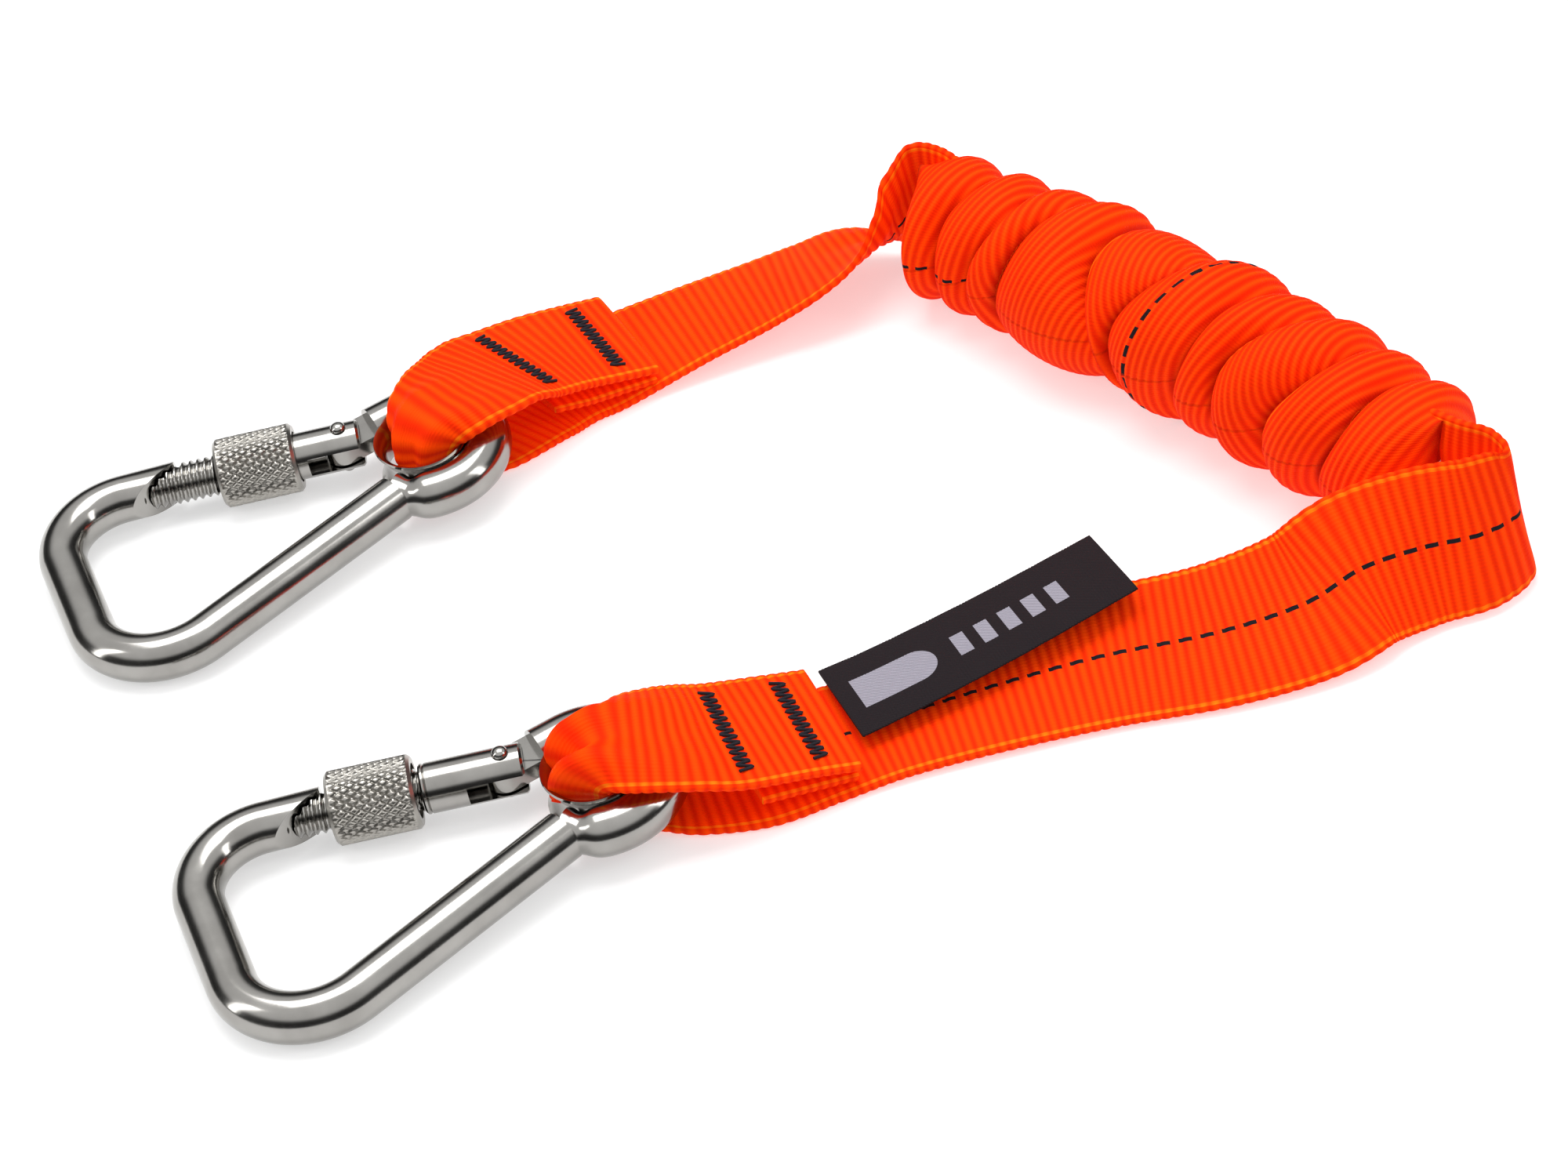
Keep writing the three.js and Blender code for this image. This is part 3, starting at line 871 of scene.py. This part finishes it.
# Each station is x, y, z, heading and lean in degrees, and width.
REAR_WEBBING: Rows = (
    (-18, 66.6, 5.1, 20, 0, 25), (-24, 64.4, 6.5, 22, 0, 25), (-31, 61.6, 8.2, 26, 0, 25),
    (-37.6, 57.6, 10.2, 32, 0, 25), (-41.7, 53.8, 12.4, 40, 0, 25), (-45.2, 50.2, 13.4, 45, 0, 24),
    (-49.6, 46.6, 13.5, 45, 0, 21), (-53.0, 44.2, 11.6, 45, 0, 16), (-53.5, 43.9, 7, 45, 0, 10.5),
    (-53.1, 44.3, 2.4, 45, 0, 10), (-49.8, 46.8, 0.95, 45, 0, 13), (-45.4, 50.4, 0.95, 45, 0, 20),
    (-37.6, 57.6, 0.95, 32, 0, 25), (-31, 61.6, 0.95, 26, 0, 25), (-24, 64.4, 0.95, 22, 0, 25),
    (-9, 68.8, 2.5, 16, -6, 25), (5, 71.8, 4.3, 10, -11, 25), (14, 73.2, 6.4, 12, -17, 25),
    (21, 75.0, 9.0, 18, -24, 22), (26, 76.6, 11.2, 17, -42, 19), (30, 77.9, 12.4, 12, -68, 20),
    (35.5, 78.6, 13.2, 0, -84, 24),
)
FRONT_WEBBING: Rows = (
    (110.5, -24.5, 13.4, -72, -90, 25), (112.4, -29.3, 13.2, -125, -80, 25), (106, -32, 12.6, -180, -68, 25),
    (97, -31.6, 11.6, -184, -58, 25), (87.5, -32.2, 10, -175, -42, 25), (78, -35.2, 7.6, -166, -28, 25),
    (64, -36.0, 5.6, -176, -20, 25), (46, -35.2, 4.4, -181, -15, 25), (28, -35.8, 2.8, -177, -6, 25),
    (12, -37.2, 1.4, -172, 0, 25), (0, -39.6, 0.95, -167, 0, 25), (-10, -42.0, 0.95, -168, 0, 25),
    (-19, -43.5, 0.95, -174, 0, 20), (-25, -43.8, 0.95, -180, 0, 14), (-29.5, -43.8, 0.95, -180, 0, 11),
    (-31.8, -43.8, 2.4, -180, 0, 10), (-32.2, -43.8, 7, -180, 0, 10.5), (-31.8, -43.8, 11.6, -180, 0, 16),
    (-29.0, -43.8, 13.4, -180, 0, 21), (-23.5, -43.8, 13.1, -180, 0, 23), (-18.5, -43.4, 11.9, -176, 0, 24),
    (-13, -42.3, 9.8, -170, 0, 25), (-4, -39.9, 7.2, -166, 0, 25), (3.5, -38.0, 5.0, -166, 0, 25),
)
REAR_FOLD: Rows = (
    (-18.5, 66.4, 2.9, 20, 0, 24), (-24, 64.4, 3.5, 22, 0, 24), (-31, 61.6, 4.4, 26, 0, 24),
    (-37, 58.6, 5.4, 31, 0, 22),
)
FRONT_FOLD: Rows = (
    (3, -38.1, 2.9, -166, 0, 24), (-4, -39.9, 4.0, -166, 0, 24), (-12, -42.0, 5.4, -170, 0, 24),
)
LABEL_ROUTE: Rows = (
    (5.2, -34.0, 4.2, 14, -2, 18), (15, -31.2, 5.0, 16, -4, 18), (32, -26.4, 7.4, 17, -6, 18),
    (51, -20.6, 10.6, 17, -8, 18),
)
# x, y and outer radius
GATHERED: Rows = (
    (36, 73, 12.2), (44, 64, 12.8), (52, 54, 13.6), (61, 42.5, 14), (71, 30, 14),
    (81, 16, 14), (90.5, 1.5, 13.8), (99, -11.5, 13.2), (104, -18.5, 12.6),
)
EYE_IN_REAR = 8  # the station inside the eye, where the webbing's route begins
EYE_IN_FRONT = 16


@dataclass
class Band:
    """Flat webbing along stations, ribbed across and pleated where it is squeezed."""

    rows: Rows
    thickness: float = 1.6
    full_width: float = 25.0
    rib: float = 1.7
    rib_height: float = 0.24
    squeeze_most: float = 0.4  # the share of the width from which pleats grow no more
    squeeze_gain: float = 2.2
    pleat_height: float = 1.8
    pleats: float = 2.5
    arch_height: float = 5.5
    step: float = 0.26
    columns: int = 44
    traced_side: int = 1  # +1 or -1: the face that has the tracer
    traced_from: float = 0.0  # how far along the tracer shows first
    outer: Callable[[Array], Array] = field(default=lambda centre: np.zeros(len(centre)))

    def frames(self) -> tuple[Array, ...]:
        """Work out the middle, across, up, width and distance at each step."""
        rows, along = even_rows(self.rows, self.step)
        centre, heading, lean = rows[:, :3], np.radians(rows[:, 3]), np.radians(rows[:, 4])
        way = unit(np.gradient(centre, axis=0))
        level = np.cos(lean)
        across = np.stack([-level * np.sin(heading), level * np.cos(heading), np.sin(lean)], axis=1)
        up = unit(np.cross(way, across))
        return centre, unit(np.cross(up, way)), up, rows[:, 5], along

    def surface(self) -> tuple[Array, Numbers]:
        """Work out the points and the numbers that the material reads.

        Returns:
            The points, ring by ring, and the material's numbers at each one.
        """
        centre, across, up, width, along = self.frames()
        turn = angles_round(self.columns)
        lane = np.sign(np.cos(turn)) * np.abs(np.cos(turn)) ** 0.75
        face = np.sign(np.sin(turn)) * np.abs(np.sin(turn)) ** 0.35
        crown = np.abs(np.sin(math.pi * along / self.rib)) ** 0.6
        half = self.thickness / 2 + 0.08 - self.rib_height * (1 - crown)
        squeeze = np.clip(1 - width / self.full_width, 0, self.squeeze_most) * self.squeeze_gain
        pleat = (1 - np.cos(self.pleats * math.pi * (lane + 1))) / 2
        shape = self.pleat_height * pleat + self.arch_height * (1 - lane**2)
        rise = (squeeze * self.outer(centre))[:, None] * shape[None, :]
        lift = half[:, None] * face[None, :] + rise
        spread = (width / 2 - 0.15 * (1 - crown))[:, None] * lane[None, :]
        points = centre[:, None] + across[:, None] * spread[..., None] + up[:, None] * lift[..., None]
        ones = np.ones_like(spread)
        run = along[:, None] * ones * MM
        sideways = ones * lane[None, :] * self.full_width / 2 * MM
        numbers = {
            "run": run,
            "lane": sideways,
            "weft": sideways,
            "dash": run,
            "traced": (along[:, None] >= self.traced_from) * (face[None, :] * self.traced_side > 0),
            # no painted crease shade on the flat bands
            "crease": 0 * ones,
        }
        return points - ORIGIN, numbers


@dataclass
class Gather:
    """The webbing pushed together over the core: plump lobes between slanting creases."""

    rows: Rows = GATHERED
    starts: tuple = (0, 10.5, 21, 31, 46, 58, 70, 80.5, 91, 102, 116)  # of lobes, in mm
    slants: tuple = (0, 1.5, 2.0, 5.5, -4.5, 6.0, 3.5, 5.5, 4.5, 3.0, 0)  # how far a crease leans
    phases: tuple = (0, 0.6, 0.9, 1.6, 0.4, 1.7, 1.2, 1.5, 1.0, 0.8, 0)
    depths: tuple = (3.0, 5.8, 6.0, 4.6, 6.2, 4.8, 6.0, 5.2, 6.0, 4.8, 3.0)
    swells: tuple = (0.6, 0.1, -0.2, 0.7, -0.6, 0.5, -0.2, 0.5, 0.3, 0.4)  # of each lobe's radius
    tilts: tuple = (-1.5, -2.5, 3.0, -4.0, 5.0, -3.0, -4.5, 3.5, -5.0, -3.0)  # how far its ribs lean
    rib: float = 1.7
    rib_height: float = 0.3
    crowding: float = 1.25  # how much closer its ribs are than on a flat band
    ripple: float = 0.7
    roll: float = 0.82  # below 1, each lobe is fullest before its middle
    plumpness: float = 0.78
    # how far the painted crease shade reaches from each crease
    crease_shade_width: float = 1.6
    lobe_run: float = 34.0  # a whole number of ribs
    girth_r: float = 14.0
    tracer_reach: float = 0.6  # how far round the low tracer can be, in radians
    sides: int = 180
    step: float = 0.25
    close: float = 5.5  # how far from each end it flattens into the band
    flat: tuple[float, float] = (2.2, 12.0)
    amber_lobes: tuple = (2, 4, 7, 8)
    ring_lobe: int = 5  # the lobe that the tracer runs round

    def surface(self) -> tuple[Array, Numbers]:
        """Work out the points and the numbers that the material reads.

        Returns:
            The points, ring by ring, and the material's numbers at each one.
        """
        rows, along = even_rows([(x, y, r, r) for x, y, r in self.rows], self.step)
        plane, radius = rows[:, :2], rows[:, 3]
        way = unit(np.gradient(plane, axis=0))
        length = along[-1]
        turn = angles_round(self.sides)
        starts = np.array(self.starts) * length / self.starts[-1]
        lobes = len(starts) - 1
        lean = np.sin(turn[None, :] - np.array(self.phases)[:, None])
        ripple = self.ripple * np.sin(3 * turn[None, :] + 2.1 * np.arange(lobes + 1)[:, None])
        ripple[[0, -1]] = 0
        creases = starts[:, None] + np.array(self.slants)[:, None] * lean + ripple
        creases = np.maximum.accumulate(creases, axis=0)
        lobe = np.clip((along[:, None, None] >= creases[None]).sum(axis=1) - 1, 0, lobes - 1)
        columns = np.arange(self.sides)[None, :]
        low, high = creases[lobe, columns], creases[lobe + 1, columns]
        span = np.maximum(high - low, 0.5)
        share = np.clip((along[:, None] - low) / span, 0, 1)
        rolled = share**self.roll
        plump = np.clip(4 * rolled * (1 - rolled), 0, 1) ** self.plumpness
        depth = np.array(self.depths)
        deep = depth[lobe] * (1 - share) + depth[lobe + 1] * share
        fade = 0.82 + 0.18 * np.sin(2 * turn[None, :] + 1.9 * lobe)
        ribs = np.maximum(np.round(self.crowding * np.diff(starts) / self.rib), 4)[lobe]
        tilt = np.array(self.tilts)[lobe] * np.sin(turn[None, :] - 0.5)
        ribbed = ribs * (along[:, None] - starts[lobe] + tilt) / np.diff(starts)[lobe]
        crown = np.abs(np.sin(math.pi * ribbed)) ** 0.6
        inset = deep * fade * (1 - plump) + self.rib_height * (1 - crown)
        inset = inset - np.array(self.swells)[lobe] * plump
        ends = np.clip(np.minimum(along, length - along) / self.close, 0, 1)
        blend = np.sin(ends * math.pi / 2)[:, None]
        wide = self.flat[0] + (radius[:, None] - self.flat[0] - inset) * blend
        tall = self.flat[1] + (radius[:, None] - self.flat[1] - inset) * blend
        side = np.stack([way[:, 1], -way[:, 0]], axis=1)
        flat = plane[:, None] + side[:, None] * (wide * np.cos(turn))[..., None]
        height = np.maximum(radius[:, None] + tall * np.sin(turn), 0.1 + 0.3 * (1 - crown))
        points = np.concatenate([flat, height[..., None]], axis=2)
        return points - ORIGIN, self.marks(lobe, share, span, ribbed, turn)

    def marks(self, lobe: Array, share: Array, span: Array, ribbed: Array, turn: Array) -> Numbers:
        """Lay out the ribs, the tracer, the edge lines and the painted shade of the creases.

        Args:
            lobe: Each point's lobe.
            share: How far through it the point is.
            span: The lobe's length there.
            ribbed: How many ribs have gone by at each point.
            turn: The angle of each column.

        Returns:
            The material's numbers at each point.
        """
        angle = np.broadcast_to(turn[None, :], lobe.shape)
        round_it = angle * self.girth_r
        run = lobe * self.lobe_run + ribbed * self.rib
        lane = np.full(lobe.shape, 6.0)
        dash = run.copy()
        low_side = (angle - 0.05 + math.pi) % (2 * math.pi) - math.pi
        first = (lobe < 2) & (np.abs(low_side) < self.tracer_reach)
        lane[first] = np.clip((low_side * self.girth_r + (share - 0.5) * 2.0)[first], -6, 6)
        ringed = lobe == self.ring_lobe
        lane[ringed] = np.clip(((share - 0.42) * span)[ringed], -6, 6)
        dash[ringed] = round_it[ringed]
        for n in self.amber_lobes:
            edged = lobe == n
            lane[edged] = np.clip(11.6 + ((share - 0.1) * span)[edged], 9, 14)
        lengths = {"run": run, "lane": lane, "weft": round_it, "dash": dash}
        # painted shade mask: full at each crease between lobes, fading out away from it
        crease = np.clip(1 - np.minimum(share, 1 - share) * span / self.crease_shade_width, 0, 1) ** 1.5
        numbers = {key: values * MM for key, values in lengths.items()}
        return {**numbers, "traced": np.ones(lobe.shape), "crease": crease}


@dataclass
class SoftGoods:
    """The webbing with its folds, tacks, label and core."""

    wardrobe: Wardrobe
    tack_length: float = 19.0
    tack_width: float = 2.4
    tack_turns: int = 13
    thread_r: float = 0.26

    @staticmethod
    def outward(centre: Array) -> Array:
        """Say how far pleats stand off: away from the eye's wire, never towards the bench."""
        return -np.clip((centre[:, 2] - 2.0) / 5.0, 0.0, 1.0)

    def skin(self, name: str, surfaces: Sequence[tuple[Array, Numbers]]) -> Piece:
        """Join ring surfaces into one piece with their stored numbers."""
        points, faces = [], []
        for rings, _ in surfaces:
            start = sum(len(p) for p in points)
            faces += grid_faces(rings.shape[0], rings.shape[1], start=start)
            points.append(rings.reshape(-1, 3))
        piece = mesh_piece(name, np.vstack(points), faces, 75.0)
        for key in surfaces[0][1]:
            store(piece, key, np.concatenate([numbers[key].ravel() for _, numbers in surfaces]))
        return piece

    def tack(self, name: str, rows: Rows, station: float, off: float) -> Piece:
        """Sew a zigzag bar tack across a flap.

        Args:
            name: The piece's name.
            rows: The webbing's stations.
            station: The place along them.
            off: How far the thread's middle is from the webbing's.

        Returns:
            The thread.
        """
        band = Band(rows)
        centre, across, up, _, along = band.frames()
        before, after = (even_rows(rows[: k + 1], band.step)[1][-1] for k in (int(station), int(station) + 1))
        where = before + (after - before) * (station % 1)
        n = int(np.argmin(np.abs(along - where)))
        way = unit(np.cross(across[n], up[n]))
        steps = 2 * self.tack_turns
        spots = []
        for k in range(steps + 1):
            sideways = (k / steps - 0.5) * self.tack_length
            swing = (0.5 if k % 2 else -0.5) * self.tack_width
            spots.append(centre[n] + across[n] * sideways + way * swing - up[n] * off)
        return tube(name, even_rows(np.array(spots), 0.25)[0] - ORIGIN, self.thread_r, 10, up[n])

    def route(self) -> Array:
        """Follow the webbing's middle from eye to eye, in metres."""
        middle = [(x, y, r) for x, y, r in GATHERED]
        rear = [row[:3] for row in REAR_WEBBING[EYE_IN_REAR:]]
        front = [row[:3] for row in FRONT_WEBBING[: EYE_IN_FRONT + 1]]
        return (np.array([*rear, *middle, *front], float) - ORIGIN) * MM

    def build(self, nodes: dict[str, Piece]) -> None:
        """Args:
            nodes: The CAD nodes; the core stays as it is.
        """
        into_rear = ((40, 75.5, 13.4, -40, -88, 24), (44, 69, 13.6, -52, -90, 22))
        out_of_front = ((99, -10, 13.4, -56, -90, 22), (106, -19.5, 13.4, -60, -90, 24))
        rear = Band((*REAR_WEBBING, *into_rear), traced_side=-1, traced_from=100.0, outer=self.outward)
        bunched = {"pleat_height": 6.0, "pleats": 2.0, "arch_height": 3.6}
        front = Band((*out_of_front, *FRONT_WEBBING), outer=self.outward, **bunched)
        webbing = self.skin("webbing", [rear.surface(), Gather().surface(), front.surface()])
        nodes_shown = ("rear_webbing", "gathered_webbing", "front_webbing")
        self.wardrobe.settle(webbing, Finish.WEBBING, "webbing", "webbing", *nodes_shown)
        for name, rows in (("rear_flap_fold", REAR_FOLD), ("front_flap_fold", FRONT_FOLD)):
            fold = self.skin(f"{name}_fine", [Band(rows, full_width=24.0).surface()])
            self.wardrobe.settle(fold, Finish.WEBBING, "webbing", "webbing", name)
        label = self.skin("label_tag_fine", [Band(LABEL_ROUTE, 0.5, 18.0, 0.5, 0.05).surface()])
        self.wardrobe.settle(label, Finish.LABEL, "label", "webbing", "label_tag")
        tacks = {
            "rear_tack_outer": (REAR_WEBBING, 3), "rear_tack_inner": (REAR_WEBBING, 1),
            "front_tack_outer": (FRONT_WEBBING, 21), "front_tack_inner": (FRONT_WEBBING, 22.3),
        }
        for name, (rows, station) in tacks.items():
            thread = self.tack(f"{name}_fine", rows, station, 1.0)
            self.wardrobe.settle(thread, Finish.THREAD, "thread", "webbing", name)
        core = nodes["elastic_core"]
        self.wardrobe.dress(core, Finish.CORE)


# ---- studio ---------------------------------------------------------------------------


@dataclass
class Studio:
    """A pale floor, soft lights and the camera."""

    wardrobe: Wardrobe
    elevation: float = math.radians(41)
    roll: float = math.radians(10.7)
    distance: float = 0.704
    lens: float = 100.8

    def build_camera(self) -> None:
        """Aim the camera at the middle of the lanyard."""
        right, up = Vector((1, 0, 0)), Vector((0, math.sin(self.elevation), math.cos(self.elevation)))
        ahead = Vector((0, math.cos(self.elevation), -math.sin(self.elevation)))
        c, s = math.cos(self.roll), math.sin(self.roll)
        axes = Matrix((right * c - up * s, right * s + up * c, -ahead)).transposed().to_4x4()
        target = Vector(-ORIGIN) * MM
        data = bpy.data.cameras.new("camera")
        data.lens, data.sensor_width, data.clip_start = self.lens, 36.0, 0.01
        camera = bpy.data.objects.new("camera", data)
        camera.matrix_world = Matrix.Translation(target - ahead * self.distance) @ axes
        bpy.context.scene.collection.objects.link(camera)
        bpy.context.scene.camera = camera

    def build_floor(self) -> None:
        """Lay the floor."""
        half = 3000.0
        corners = np.array([(-half, -half, 0), (half, -half, 0), (half, half, 0), (-half, half, 0)])
        floor = mesh_piece("floor", corners, [(0, 1, 2, 3)])
        self.wardrobe.dress(floor, Finish.FLOOR)

    def build_light(self, name: str, place: Sequence[float], size: Sequence[float], power: float) -> None:
        """Hang a soft box that faces the lanyard.

        Args:
            name: Its name.
            place: Where it is, in metres.
            size: Its sides, in metres.
            power: Its power, in watts.
        """
        data = bpy.data.lights.new(name, "AREA")
        data.shape, data.size, data.size_y, data.energy = "RECTANGLE", *size, power
        light = bpy.data.objects.new(name, data)
        light.location = place
        aim = Vector((0.06, 0.01, 0)) - Vector(place)
        light.rotation_euler = aim.to_track_quat("-Z", "Y").to_euler()
        bpy.context.scene.collection.objects.link(light)

    def build(self) -> None:
        """Set up everything but the camera."""
        self.build_floor()
        self.build_light("top", (0.05, 0.25, 0.9), (0.7, 0.5), 5.5)
        self.build_light("left", (-0.9, -0.1, 0.5), (0.16, 0.9), 2.6)
        self.build_light("right", (0.9, -0.3, 0.6), (0.2, 0.7), 2.2)
        bpy.context.scene.world = Sky().world
        bpy.context.scene.view_settings.view_transform = "Standard"


def main() -> None:
    """Build the lanyard in its studio."""
    logging.basicConfig(level=logging.INFO, format="%(message)s")
    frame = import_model()
    wardrobe = Wardrobe()
    studio = Studio(wardrobe)
    studio.build_camera()
    SoftGoods(wardrobe).build(frame["nodes"])
    for seat in (("rear", (-68.2, 48.6), 0.9, -21.2), ("front", (-47.1, -37.8), 0.3, -27.2)):
        Carabiner(*seat, wardrobe).build(frame["nodes"])
    studio.build()


if __name__ == "__main__":
    main()
